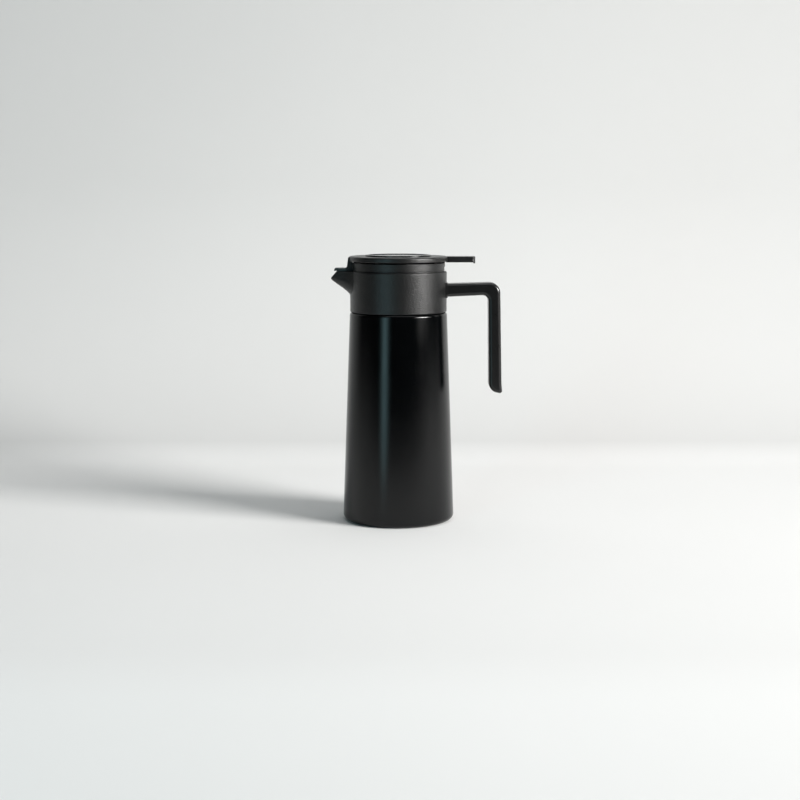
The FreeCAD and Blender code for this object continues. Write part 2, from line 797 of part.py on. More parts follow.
def make_lid_ring():
    """Lid body: skirt on the collar's rim, tray with the pouring hole, hinge ears and locking lugs."""
    body = new_body("lid_ring")
    plug, skirt_bore = plug_radius, skirt_radius - named("lid_wall")
    rebate = skirt_radius - named("skirt_rebate_depth")
    rebate_top = collar_top + named("skirt_rebate_height")
    ledge = rebate_top + named("lid_wall")
    turn(body, "tray", [
        (ZERO, deck_bottom),
        (plug, deck_bottom),
        (plug, collar_top),
        (rebate, collar_top),
        (rebate, rebate_top),
        (skirt_radius, rebate_top, named("skirt_rounding")),
        (skirt_radius, skirt_top, named("skirt_rounding")),
        (skirt_bore, skirt_top),
        (skirt_bore, ledge),
        (plug_bore, ledge),
        (plug_bore, deck_top),
        (ZERO, deck_top),
    ])
    half, ear_top = ear_half, skirt_top - named("ear_drop")
    ear_front = hinge_x - named("ear_depth")
    wall_middle = named("lid_wall") / 2
    lower_reach = chord_reach(plug - wall_middle, half)
    pad(body, "ear_foot", "XY", box_corners(ear_front, lower_reach, -half, half), ledge - deck_top, deck_top)
    upper_reach = chord_reach(skirt_radius - wall_middle, half)
    pad(body, "ears", "XY", box_corners(ear_front, upper_reach, -half, half), ear_top - ledge, ledge)
    slot_front = hinge_x - named("hinge_slot_front")
    slot_floor = hinge_z - named("hinge_slot_drop")
    slot_reach = skirt_radius + CUT_ALLOWANCE
    pocket(body, "hinge_slot", "XY", box_corners(slot_front, slot_reach, -slot_half, slot_half),
           skirt_top - slot_floor + CUT_ALLOWANCE, slot_floor)
    drill(body, "pin_hole", "XZ", [(hinge_x, hinge_z)], named("pin_radius") + fixed_gap,
          pin_blind_end + named("loose_gap") + skirt_radius, -skirt_radius)
    drill(body, "pour_hole", "XY", [(valve_x, ZERO)], named("pour_hole_radius"),
          named("deck_thickness") + CUT_ALLOWANCE, deck_bottom)
    window_half = named("window_half_width")
    window_front, window_back = -skirt_radius - CUT_ALLOWANCE, -plug_bore + CUT_ALLOWANCE
    pocket(body, "window", "XY", box_corners(window_front, window_back, -window_half, window_half),
           skirt_top - deck_top + CUT_ALLOWANCE, deck_top)
    lug_outer = collar_bore - named("lug_radial_play")
    lug = pad(body, "lug", "XY", lug_corners(plug - wall_middle, lug_outer), named("lug_height"),
              deck_bottom + named("lid_lug_lift"))
    repeat_round(body, "lugs", lug)
    return body


def make_stopper():
    """Cup under the tray that fills the neck, with a port in its floor and a groove for the gasket."""
    body = new_body("stopper")
    radius, bore = stopper_radius, stopper_bore
    groove = radius - named("groove_depth")
    bottom = deck_bottom - named("stopper_length")
    groove_bottom = bottom + named("groove_lift")
    groove_top = groove_bottom + named("groove_height")
    turn(body, "cup", [
        (ZERO, bottom),
        (radius, bottom),
        (radius, groove_bottom),
        (groove, groove_bottom),
        (groove, groove_top),
        (radius, groove_top),
        (radius, deck_bottom),
        (bore, deck_bottom),
        (bore, bottom + named("stopper_floor")),
        (ZERO, bottom + named("stopper_floor")),
    ])
    drill(body, "port", "XY", [(ZERO, ZERO)], named("stopper_port_radius"),
          named("stopper_floor") + CUT_ALLOWANCE, bottom)
    return body


def make_stopper_gasket():
    """Soft ring in the stopper's groove with two lips towards the neck."""
    body = new_body("stopper_gasket")
    play, height = named("loose_gap"), named("groove_height")
    bottom = deck_bottom - named("stopper_length") + named("groove_lift") + play
    inner = stopper_radius - named("groove_depth") + play
    outer = liner_bore - named("neck_bore_gap")
    waist = outer - named("gasket_lip")
    step = (height - play * 2) / 6
    turn(body, "ring", [
        (inner, bottom),
        (waist, bottom),
        (outer, bottom + step),
        (waist, bottom + step * 2),
        (waist, bottom + step * 4),
        (outer, bottom + step * 5),
        (waist, bottom + step * 6),
        (inner, bottom + step * 6),
    ])
    return body


def make_hinge_pin():
    """Straight pin in the ears, pushed in from the +Y side."""
    body = new_body("hinge_pin")
    sketch = new_sketch(body, "pin_circle", "XZ", -pin_open_end)
    draw_circle(sketch, hinge_x, hinge_z, named("pin_radius"))
    extrude(body, "Pad", "pin", sketch, pin_open_end + pin_blind_end)
    return body


def coil_angle(reach, height, radius, side):
    """Where a straight leg to that point leaves a coil about the pin, as an angle forward from the top."""
    point_angle = math.atan2(height, reach)
    spread = math.acos(radius / math.hypot(reach, height))
    return point_angle + side * spread - math.pi / 2


def make_return_spring():
    """Torsion spring on the pin: the upper leg lifts the flap behind it, the lower one stands in the slot."""
    radius, wire = named("spring_radius").number, named("spring_wire").number / 2
    pitch, turns = named("spring_pitch").number, int(named("spring_turns").number)
    gap = named("loose_gap").number
    upper_height = (roof_bottom - hinge_z).number - wire - gap
    lower_height = named("hinge_slot_drop").number - wire - gap
    upper_reach, lower_reach = named("spring_upper_leg").number, named("spring_lower_leg").number
    full_turn = 2 * math.pi
    first_angle = coil_angle(upper_reach, upper_height, radius, 1)
    last_angle = coil_angle(lower_reach, -lower_height, radius, -1) + full_turn * (turns + 1)
    length = pitch * (last_angle - first_angle) / full_turn
    centre = FreeCAD.Vector(hinge_x.number, -length / 2, hinge_z.number)

    def coil_point(angle):
        along = pitch * (angle - first_angle) / full_turn
        return centre + FreeCAD.Vector(-radius * math.sin(angle), along, radius * math.cos(angle))

    upper_end = centre + FreeCAD.Vector(upper_reach, 0, upper_height)
    lower_end = centre + FreeCAD.Vector(lower_reach, length, -lower_height)
    pieces_of_coil = math.ceil((last_angle - first_angle) / math.pi)
    step = (last_angle - first_angle) / pieces_of_coil
    edges = [Part.LineSegment(upper_end, coil_point(first_angle)).toShape()]
    for i in range(pieces_of_coil):
        start = first_angle + step * i
        arc = Part.Arc(coil_point(start), coil_point(start + step / 2), coil_point(start + step))
        edges.append(arc.toShape())
    edges.append(Part.LineSegment(coil_point(last_angle), lower_end).toShape())
    path = Part.Wire(edges)
    section = Part.Wire([Part.makeCircle(wire, upper_end, coil_point(first_angle) - upper_end)])
    spring = doc.addObject("Part::Feature", "return_spring")
    spring.Label = "return_spring"
    spring.Shape = path.makePipeShell([section], True, False)
    spring.Placement = FreeCAD.Placement()
    expected = math.pi * wire ** 2 * path.Length
    print(f"return_spring: volume {spring.Shape.Volume:.2f}, section times length {expected:.2f}")
    print(f"return_spring: least gap between turns {pitch - 2 * wire:.2f}")
    return spring


def make_flap():
    """Disc with a hollow underside, thumb lever, beak cover with its tab, and hinge knuckles."""
    body = new_body("flap")
    rim_bore = flap_radius - named("flap_wall")
    plate_bore = plate_radius + named("loose_gap")
    turn(body, "disc", [
        (ZERO, roof_bottom),
        (rim_bore, roof_bottom),
        (rim_bore, flap_bottom),
        (flap_radius, flap_bottom, named("flap_low_rounding")),
        (flap_radius, flap_top, named("flap_top_rounding")),
        (plate_bore, flap_top),
        (plate_bore, recess_floor),
        (ZERO, recess_floor),
    ])
    make_lever(body, rim_bore)
    make_cover(body)
    make_knuckles(body)
    head_floor = recess_floor - named("stem_head_height") - fixed_gap
    drill(body, "stem_screw_hole", "XY", [(valve_x, ZERO)], named("stem_screw_radius") + named("loose_gap"),
          named("flap_roof"), roof_bottom)
    drill(body, "stem_head_hole", "XY", [(valve_x, ZERO)], named("stem_head_radius") + named("loose_gap"),
          named("stem_head_height") + CUT_ALLOWANCE, head_floor)
    return body


def make_lever(body, rim_bore):
    """Thumb lever behind the disc: a shell, open below, with a lip under its end."""
    reach = flap_radius + named("lever_length")
    half, skin = named("lever_width") / 2, named("lever_wall")
    bend, thickness = named("lever_rounding"), named("lever_thickness")
    bottom = flap_top - named("lever_top_drop") - thickness
    root_x = rim_bore + named("loose_gap")
    pad(body, "lever", "XY", [
        (root_x, -half),
        (reach, -half, bend),
        (reach, half, bend),
        (root_x, half),
    ], thickness, bottom)
    top, beyond = bottom.number + thickness.number, flap_radius.number - fixed_gap.number

    def upper_edge(edge):
        spots = [vertex.Point for vertex in edge.Vertexes]
        level = all(abs(spot.z - top) < fixed_gap.number for spot in spots)
        return level and all(spot.x > beyond for spot in spots) and edge.BoundBox.XMax > beyond + bend.number

    round_edges(body, "lever_edges", named("lever_edge_rounding"), upper_edge)
    hollow_start = flap_radius + skin
    pocket(body, "lever_hollow", "XY", [
        (hollow_start, -half + skin),
        (reach - skin, -half + skin, bend - skin),
        (reach - skin, half - skin, bend - skin),
        (hollow_start, half - skin),
    ], thickness - skin, bottom)
    lip = named("lever_lip")
    pad(body, "lever_lip", "XY", box_corners(reach - skin, reach - fixed_gap, -half + bend, half - bend),
        lip + skin, bottom - lip)


def make_cover(body):
    """Cover in front of the lid's window, with cheeks that follow the skirt and a tab over the beak."""
    cheek_radius = skirt_radius + named("cover_gap")
    back = -cheek_radius
    tab_bottom = collar_top + named("tab_gap")
    tab_top = tab_bottom + named("tab_thickness")
    front_top = back - named("cover_thickness")
    front_low = front_top - named("cover_lean")
    top = flap_top - named("cover_top_drop")
    tip, bevel = -(collar_radius + named("tab_overhang")), named("tab_bevel")
    width = named("cover_width")
    pad(body, "cover", "XZ", [
        (back, tab_bottom),
        (back, top),
        (front_top, top, named("flap_low_rounding")),
        (front_low, tab_top, named("cover_root_rounding")),
        (tip + bevel, tab_top),
        (tip, tab_bottom + named("tab_gap")),
        (tip + named("tab_gap"), tab_bottom),
    ], width, side="Symmetric")
    taper_start, half = front_low - named("tab_shoulder"), width / 2
    tip_half = named("tab_tip_half_width")
    beyond = tip - CUT_ALLOWANCE
    beside = half + CUT_ALLOWANCE
    for name, sign in (("tab_taper_near", -1), ("tab_taper_far", 1)):
        corners = [
            (taper_start, half * sign),
            (taper_start, beside * sign),
            (beyond, beside * sign),
            (beyond, tip_half * sign),
        ]
        pocket(body, name, "XY", corners[::sign], named("tab_thickness") + CUT_ALLOWANCE,
               tab_bottom - fixed_gap)
    start, root = named("cheek_start"), back - named("cover_thickness") / 2
    for name, sign in (("cheek_near", -1), ("cheek_far", 1)):
        corners = [
            (root, start * sign),
            (-chord_reach(cheek_radius, start), start * sign),
            (-chord_reach(cheek_radius, half), half * sign),
            (root, half * sign),
        ]
        pad(body, name, "XY", corners[::sign], top - tab_bottom, tab_bottom)


def make_knuckles(body):
    """Two knuckles under the disc that turn on the pin, with the spring between them."""
    radius, half = named("knuckle_radius"), slot_half - named("knuckle_side_gap")
    bend = radius - fixed_gap
    pad(body, "knuckles", "XZ", [
        (hinge_x - radius, hinge_z - radius, bend),
        (hinge_x + radius, hinge_z - radius, bend),
        (hinge_x + radius, recess_floor),
        (hinge_x - radius, recess_floor),
    ], half * 2, side="Symmetric")
    pocket(body, "spring_bay", "XZ",
           box_corners(hinge_x - radius * 2, hinge_x + radius + fixed_gap, hinge_z - radius * 2, roof_bottom),
           named("spring_bay_half_width") * 2, side="Symmetric")
    drill(body, "knuckle_holes", "XZ", [(hinge_x, hinge_z)], named("pin_radius") + named("running_gap"),
          half * 4, side="Symmetric")


def make_top_plate():
    """Round dished plate let into the disc, standing a little proud."""
    body = new_body("top_plate")
    radius, bend = plate_radius, named("plate_rounding")
    top = flap_top + named("plate_proud")
    dish = top - named("plate_dish")
    rim_inner = radius - named("plate_rim_width")
    turn(body, "plate", [
        (ZERO, recess_floor),
        (radius, recess_floor),
        (radius, top, bend),
        (rim_inner, top, bend),
        (rim_inner - named("plate_dish"), dish),
        (ZERO, dish),
    ])
    return body


def make_valve_stem():
    """Post under the flap that carries the seal on its disc and spigot."""
    body = new_body("valve_stem")
    disc_top = seal_top + named("stem_disc_thickness")
    spigot, disc = named("spigot_radius"), seal_radius - named("stem_disc_inset")
    turn(body, "post", [
        (ZERO, seal_top - named("spigot_depth")),
        (spigot, seal_top - named("spigot_depth")),
        (spigot, seal_top),
        (disc, seal_top),
        (disc, disc_top),
        (named("stem_radius"), disc_top),
        (named("stem_radius"), roof_bottom),
        (ZERO, roof_bottom),
    ])
    move_body(body, x=valve_x)
    depth = stem_screw_depth() + named("loose_gap")
    drill(body, "pilot_hole", "XY", [(ZERO, ZERO)], named("stem_screw_radius") + fixed_gap,
          depth + CUT_ALLOWANCE, roof_bottom - depth)
    return body


def stem_screw_depth():
    """How far the screw runs below the flap's roof."""
    head_floor = recess_floor - named("stem_head_height") - fixed_gap
    return named("stem_screw_length") - (head_floor - roof_bottom)


def make_valve_seal():
    """Soft disc with a nose that closes the pouring hole."""
    body = new_body("valve_seal")
    nose = named("pour_hole_radius") - named("seal_nose_gap")
    socket = named("spigot_radius") + fixed_gap
    nose_bottom = seal_bottom - named("seal_nose_depth")
    socket_bottom = seal_top - named("spigot_depth") - fixed_gap
    turn(body, "disc", [
        (ZERO, nose_bottom),
        (nose - named("seal_nose_depth"), nose_bottom),
        (nose, seal_bottom),
        (seal_radius, seal_bottom),
        (seal_radius, seal_top),
        (socket, seal_top),
        (socket, socket_bottom),
        (ZERO, socket_bottom),
    ])
    move_body(body, x=valve_x)
    return body


def make_stem_screw():
    """Screw from under the top plate into the valve stem."""
    body = new_body("stem_screw")
    radius, head = named("stem_screw_radius"), named("stem_head_radius")
    head_bottom = recess_floor - named("stem_head_height") - fixed_gap
    tip = head_bottom - named("stem_screw_length")
    turn(body, "screw", [
        (ZERO, tip),
        (radius, tip + radius),
        (radius, head_bottom),
        (head, head_bottom),
        (head, recess_floor - fixed_gap),
        (ZERO, recess_floor - fixed_gap),
    ])
    move_body(body, x=valve_x)
    return body


pieces = [
    make_outer_shell(),
    make_base_plate(),
    make_inner_flask(),
    make_reflector_foil(),
    make_getter(),
    make_vacuum_plug(),
    make_collar_gasket(),
    make_neck_seal(),
    make_neck_nut(),
    make_collar(),
    make_handle(),
    make_handle_screws(),
    make_lid_ring(),
    make_stopper(),
    make_stopper_gasket(),
    make_hinge_pin(),
    make_return_spring(),
    make_flap(),
    make_top_plate(),
    make_valve_stem(),
    make_valve_seal(),
    make_stem_screw(),
]
doc.recompute()

for item in doc.Objects:
    if "Invalid" in item.State or "Error" in item.State:
        raise RuntimeError(f"{item.Name} failed: {item.State}")
for piece in pieces:
    if piece.Shape.isNull() or not piece.Shape.isValid() or not piece.Shape.Solids:
        raise RuntimeError(f"{piece.Label} has no valid solid")

os.makedirs("parts", exist_ok=True)
for piece in pieces:
    piece.Shape.exportStep(f"parts/{piece.Label}.step")
    box = piece.Shape.BoundBox
    extent = f"{box.XLength:.1f} x {box.YLength:.1f} x {box.ZLength:.1f}"
    print(f"{piece.Label}: {len(piece.Shape.Solids)} solid(s), {extent}")
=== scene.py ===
# %% [markdown]
# A black vacuum carafe, dressed piece by piece.
# The construction model already has every real shape, so this lesson loads it as a fixed frame.
# Each step then looks at one piece or one finish, says what it is on the real carafe and makes it.
# All lengths are in metres, Z is up, the beak points to -X and the handle to +X.

import json
import math

import bpy
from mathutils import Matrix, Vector


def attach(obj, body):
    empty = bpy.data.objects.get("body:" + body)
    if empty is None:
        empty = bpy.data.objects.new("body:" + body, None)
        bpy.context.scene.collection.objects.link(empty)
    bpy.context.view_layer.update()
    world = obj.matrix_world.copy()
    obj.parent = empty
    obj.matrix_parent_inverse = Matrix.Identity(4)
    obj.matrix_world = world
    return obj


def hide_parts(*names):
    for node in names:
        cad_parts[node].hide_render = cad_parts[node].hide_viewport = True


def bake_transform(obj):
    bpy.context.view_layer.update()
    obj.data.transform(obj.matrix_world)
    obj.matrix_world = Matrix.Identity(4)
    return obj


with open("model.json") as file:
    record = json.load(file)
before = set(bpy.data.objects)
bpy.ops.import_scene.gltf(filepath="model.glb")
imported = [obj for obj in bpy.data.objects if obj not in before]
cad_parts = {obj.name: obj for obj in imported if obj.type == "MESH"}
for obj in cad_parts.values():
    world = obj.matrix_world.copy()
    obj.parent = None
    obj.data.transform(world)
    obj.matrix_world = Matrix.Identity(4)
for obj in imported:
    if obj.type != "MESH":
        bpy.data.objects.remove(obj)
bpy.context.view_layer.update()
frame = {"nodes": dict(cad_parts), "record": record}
scene = bpy.context.scene
scene.view_settings.view_transform = "Standard"
MILLIMETRE = 0.001
print("nodes:", len(frame["nodes"]))

# %% [markdown]
# The camera stands almost level with the lid, a good arm's length and a half away.
# A short lens would bend the tall flask, so a long one is used from further off.
# Its place was fitted to the ellipses of the foot and the lid, which fix height, tilt and distance.

# %% Stand the camera
CAMERA_PLACE = (0.0015, -1.443, 0.3046)
CAMERA_TILT = math.radians(90.0 - 7.56)
CAMERA_LENS = 69.35

camera_data = bpy.data.cameras.new("portrait_camera")
camera_data.lens = CAMERA_LENS
camera_data.sensor_width = 36.0
camera = bpy.data.objects.new("portrait_camera", camera_data)
camera.location = CAMERA_PLACE
camera.rotation_euler = (CAMERA_TILT, 0.0, 0.0)
scene.collection.objects.link(camera)
scene.camera = camera
print("camera at", CAMERA_PLACE, "lens", CAMERA_LENS)

# %% [markdown]
# The studio is a sheet of pale paper that runs along the table and then curves up the wall.
# A plane and a wall would meet in a hard line, so one sheet is bent through a quarter circle.
# A black flask shows whatever stands before it,
# so the sheet dips gently in front of the carafe and ends there.
# The flask's upper half then looks past the paper into a dim room, which keeps it deep black.

# %% Bend the paper sweep
SWEEP_HALF_WIDTH = 3.0
SWEEP_FRONT = -0.95
SWEEP_CREST = -0.44
SWEEP_CREST_RADIUS = 0.5
SWEEP_SLOPE = math.radians(9.0)
SWEEP_BEND_START = 0.28
SWEEP_BEND_RADIUS = 0.32
SWEEP_TOP = 2.4
SWEEP_DROP = -0.0003
SWEEP_BEND_STEPS = 32


def paper_profile():
    """The sheet seen from the side, as (y, z) points from the front edge to the top."""
    points = []
    for i in range(SWEEP_BEND_STEPS + 1):
        angle = SWEEP_SLOPE * (1.0 - i / SWEEP_BEND_STEPS)
        y = SWEEP_CREST - SWEEP_CREST_RADIUS * math.sin(angle)
        z = SWEEP_DROP - SWEEP_CREST_RADIUS * (1.0 - math.cos(angle))
        points.append((y, z))
    fall = (points[0][0] - SWEEP_FRONT) * math.tan(SWEEP_SLOPE)
    points.insert(0, (SWEEP_FRONT, points[0][1] - fall))
    points.append((SWEEP_BEND_START, SWEEP_DROP))
    for i in range(1, SWEEP_BEND_STEPS + 1):
        angle = math.pi / 2 * i / SWEEP_BEND_STEPS
        y = SWEEP_BEND_START + SWEEP_BEND_RADIUS * math.sin(angle)
        z = SWEEP_DROP + SWEEP_BEND_RADIUS * (1.0 - math.cos(angle))
        points.append((y, z))
    points.append((SWEEP_BEND_START + SWEEP_BEND_RADIUS, SWEEP_TOP))
    return points


def new_object(name, mesh):
    """Put a mesh into the scene under one name."""
    mesh.name = name
    thing = bpy.data.objects.new(name, mesh)
    scene.collection.objects.link(thing)
    return thing


profile = paper_profile()
corners = [(side * SWEEP_HALF_WIDTH, y, z) for y, z in profile for side in (-1, 1)]
strips = [(2 * i, 2 * i + 1, 2 * i + 3, 2 * i + 2) for i in range(len(profile) - 1)]
paper_mesh = bpy.data.meshes.new("paper_sweep")
paper_mesh.from_pydata(corners, [], strips)
paper_mesh.polygons.foreach_set("use_smooth", [True] * len(strips))
paper = new_object("paper_sweep", paper_mesh)
print("paper sweep of", len(strips), "strips")

# %% [markdown]
# Every finish below is a node material.
# A helper starts each one with a shader and object coordinates, which are true metres here,
# so a grain of one millimetre is a noise scale of a thousand.

# %% Helpers for the finishes


def new_finish(name):
    """A fresh material with its shader and its place in metres."""
    finish = bpy.data.materials.new(name)
    finish.use_nodes = True
    nodes = finish.node_tree.nodes
    nodes.clear()
    output = nodes.new("ShaderNodeOutputMaterial")
    shader = nodes.new("ShaderNodeBsdfPrincipled")
    place = nodes.new("ShaderNodeTexCoord")
    finish.node_tree.links.new(shader.outputs["BSDF"], output.inputs["Surface"])
    return finish, shader, place.outputs["Object"]


def add_noise(finish, place, scale, detail=2.0, roughness=0.5):
    """A noise whose grain is one over the scale, in metres."""
    noise = finish.node_tree.nodes.new("ShaderNodeTexNoise")
    noise.inputs["Scale"].default_value = scale
    noise.inputs["Detail"].default_value = detail
    noise.inputs["Roughness"].default_value = roughness
    finish.node_tree.links.new(place, noise.inputs["Vector"])
    return noise.outputs["Fac"]


def spread(finish, value, low, high):
    """Turn a noise around one half into a number between two limits."""
    mapping = finish.node_tree.nodes.new("ShaderNodeMapRange")
    mapping.inputs["From Min"].default_value = 0.25
    mapping.inputs["From Max"].default_value = 0.75
    mapping.inputs["To Min"].default_value = low
    mapping.inputs["To Max"].default_value = high
    finish.node_tree.links.new(value, mapping.inputs["Value"])
    return mapping.outputs["Result"]


def tint(finish, value, dark, light):
    """Turn a noise into a colour between two colours."""
    ramp = finish.node_tree.nodes.new("ShaderNodeValToRGB")
    ramp.color_ramp.elements[0].position = 0.25
    ramp.color_ramp.elements[0].color = (*dark, 1.0)
    ramp.color_ramp.elements[1].position = 0.75
    ramp.color_ramp.elements[1].color = (*light, 1.0)
    finish.node_tree.links.new(value, ramp.inputs["Fac"])
    return ramp.outputs["Color"]


def add_bump(finish, shader, height, depth, strength):
    """Let a height, in units of the depth in metres, tilt the shading."""
    bump = finish.node_tree.nodes.new("ShaderNodeBump")
    bump.inputs["Strength"].default_value = strength
    bump.inputs["Distance"].default_value = depth
    links = finish.node_tree.links
    links.new(height, bump.inputs["Height"])
    before = shader.inputs["Normal"]
    if before.is_linked:
        links.new(before.links[0].from_socket, bump.inputs["Normal"])
    links.new(bump.outputs["Normal"], before)


def mix_shaders(finish, share, first, second):
    """Let a share of a second shader lie over the first one."""
    nodes, links = finish.node_tree.nodes, finish.node_tree.links
    mix = nodes.new("ShaderNodeMixShader")
    links.new(share, mix.inputs[0])
    links.new(first.outputs["BSDF"], mix.inputs[1])
    links.new(second.outputs["BSDF"], mix.inputs[2])
    links.new(mix.outputs["Shader"], nodes["Material Output"].inputs["Surface"])


def wear(finish, name):
    """Print a finish once it is made."""
    print("finish", name, "with", len(finish.node_tree.nodes), "nodes")
    return finish


# %% [markdown]
# The paper is matt and nearly white. Real paper is never one flat tone,
# so a very soft cloud of noise moves it by about one part in a hundred.
# A wall catches more of the main light than a table does, so the sheet's colour is painted a shade greyer
# up the wall, a painted shade that keeps the upright part dim.
# Its back is clear, so that the carafe can also be looked at from behind.

# %% Finish for the paper
PAPER_SHADE_RISE = 0.014


def make_paper():
    """Matt pale studio paper, with painted shade that makes it greyer up the wall."""
    finish, shader, place = new_finish("studio_paper")
    nodes, links = finish.node_tree.nodes, finish.node_tree.links
    cloud = add_noise(finish, place, 1.7, 2.0)
    parts = nodes.new("ShaderNodeSeparateXYZ")
    links.new(place, parts.inputs["Vector"])
    # Painted shade: the paper colour turns a shade greyer over the first 14 millimetres of height, so the
    # wall reads dimmer.
    climb = nodes.new("ShaderNodeMapRange")
    climb.inputs["From Max"].default_value = PAPER_SHADE_RISE
    links.new(parts.outputs["Z"], climb.inputs["Value"])
    wall_shade_mix = nodes.new("ShaderNodeMix")
    wall_shade_mix.data_type = "RGBA"
    links.new(climb.outputs["Result"], wall_shade_mix.inputs["Factor"])
    links.new(tint(finish, cloud, (0.75, 0.75, 0.745), (0.77, 0.77, 0.765)), wall_shade_mix.inputs["A"])
    links.new(tint(finish, cloud, (0.60, 0.60, 0.595), (0.62, 0.62, 0.615)), wall_shade_mix.inputs["B"])
    links.new(wall_shade_mix.outputs["Result"], shader.inputs["Base Color"])
    shader.inputs["Roughness"].default_value = 0.9
    shader.inputs["Specular IOR Level"].default_value = 0.1
    side = nodes.new("ShaderNodeNewGeometry")
    clear = nodes.new("ShaderNodeBsdfTransparent")
    mix_shaders(finish, side.outputs["Backfacing"], shader, clear)
    return wear(finish, "studio_paper")


paper.data.materials.append(make_paper())

# %% [markdown]
# The flask is steel under a satin black coat. Sprayed powder melts almost smooth
# and leaves a faint orange peel, about a millimetre from crest to crest.
# The usual gloss has long tails that would draw a grey veil under a strong lamp,
# which this coat does not show.
# So the colour is a plain dark shader, and a Beckmann gloss, whose highlight ends sooner, lies over it.
# A Fresnel node lets that gloss grow towards the edges, as on any lacquer.

# %% Finish for the coated steel


def make_satin_coat():
    """Satin black powder coat with a faint orange peel."""
    finish, shader, place = new_finish("satin_coat")
    nodes, links = finish.node_tree.nodes, finish.node_tree.links
    cloud = add_noise(finish, place, 45.0, 3.0)
    links.new(tint(finish, cloud, (0.0006, 0.0008, 0.0010), (0.0010, 0.0012, 0.0014)),
              shader.inputs["Base Color"])
    shader.inputs["Specular IOR Level"].default_value = 0.0
    gloss = nodes.new("ShaderNodeBsdfGlossy")
    gloss.distribution = "BECKMANN"
    links.new(spread(finish, cloud, 0.24, 0.27), gloss.inputs["Roughness"])
    mirror = nodes.new("ShaderNodeFresnel")
    mirror.inputs["IOR"].default_value = 1.45
    mix_shaders(finish, mirror.outputs["Fac"], shader, gloss)
    peel = add_noise(finish, place, 850.0, 2.0)
    add_bump(finish, shader, peel, 0.00002, 0.10)
    speck = add_noise(finish, place, 4200.0, 1.0)
    add_bump(finish, shader, speck, 0.00001, 0.10)
    links.new(shader.inputs["Normal"].links[0].from_socket, gloss.inputs["Normal"])
    return wear(finish, "satin_coat")


# %% [markdown]
# Collar, lid and flap are moulded in a steel tool that was spark eroded, which prints a fine even grain.
# The grain breaks up every highlight, so these pieces look charcoal beside the black flask.
# Two noises of different size are stacked as bump: the coarse one sparkles, the fine one dulls.

# %% Finish for the grained mouldings


def make_moulded_grain():
    """Matt black plastic with a spark-eroded grain."""
    finish, shader, place = new_finish("moulded_grain")
    links = finish.node_tree.links
    grain = add_noise(finish, place, 800.0, 3.0, 0.65)
    links.new(tint(finish, grain, (0.0014, 0.0015, 0.0016), (0.0030, 0.0031, 0.0032)),
              shader.inputs["Base Color"])
    links.new(spread(finish, grain, 0.31, 0.38), shader.inputs["Roughness"])
    shader.inputs["IOR"].default_value = 1.52
    add_bump(finish, shader, grain, 0.00028, 1.0)
    fine = add_noise(finish, place, 5200.0, 2.0)
    add_bump(finish, shader, fine, 0.00003, 0.35)
    return wear(finish, "moulded_grain")


# %% [markdown]
# The handle is polished finer than the collar so that it feels smooth in the hand.
# It keeps a soft gloss with clear lines of light along its rounded edges.

# %% Finish for the handle


def make_handle_satin():
    """Satin black plastic, smooth to the touch."""
    finish, shader, place = new_finish("handle_satin")
    links = finish.node_tree.links
    cloud = add_noise(finish, place, 160.0, 3.0)
    links.new(tint(finish, cloud, (0.0038, 0.0038, 0.0039), (0.0044, 0.0044, 0.0045)),
              shader.inputs["Base Color"])
    links.new(spread(finish, cloud, 0.27, 0.30), shader.inputs["Roughness"])
    shader.inputs["IOR"].default_value = 1.5
    grain = add_noise(finish, place, 3200.0, 2.0)
    add_bump(finish, shader, grain, 0.00002, 0.18)
    return wear(finish, "handle_satin")


# %% [markdown]
# The round plate on the lid is a shade glossier than the disc around it,
# with the faint rings that a turned mould leaves. Rings need the distance from the axis,
# so the place is split and its flat length drives a fine wave.

# %% Finish for the top plate


def ring_distance(finish, place):
    """The distance of a point from the flask's axis."""
    nodes, links = finish.node_tree.nodes, finish.node_tree.links
    flat = nodes.new("ShaderNodeVectorMath")
    flat.operation = "MULTIPLY"
    flat.inputs[1].default_value = (1.0, 1.0, 0.0)
    links.new(place, flat.inputs[0])
    length = nodes.new("ShaderNodeVectorMath")
    length.operation = "LENGTH"
    links.new(flat.outputs["Vector"], length.inputs[0])
    return length.outputs["Value"]


def make_plate_gloss():
    """Semi-gloss black plastic with faint turned rings."""
    finish, shader, place = new_finish("plate_gloss")
    links = finish.node_tree.links
    cloud = add_noise(finish, place, 120.0, 3.0)
    links.new(tint(finish, cloud, (0.0030, 0.0030, 0.0031), (0.0045, 0.0045, 0.0046)),
              shader.inputs["Base Color"])
    links.new(spread(finish, cloud, 0.12, 0.17), shader.inputs["Roughness"])
    shader.inputs["IOR"].default_value = 1.5
    rings = finish.node_tree.nodes.new("ShaderNodeTexNoise")
    rings.noise_dimensions = "1D"
    rings.inputs["Scale"].default_value = 2400.0
    rings.inputs["Detail"].default_value = 2.0
    links.new(ring_distance(finish, place), rings.inputs["W"])
    add_bump(finish, shader, rings.outputs["Fac"], 0.00001, 0.10)
    return wear(finish, "plate_gloss")


# %% [markdown]
# The liner, the base, the pin, the spring and the screws are bare steel, brushed in the lathe.
# The brush runs round the axis, so its noise changes fast with height and distance from the axis
# and hardly at all with the angle. A point is therefore described as (angle, distance, height).

# %% Finish for the bare steel


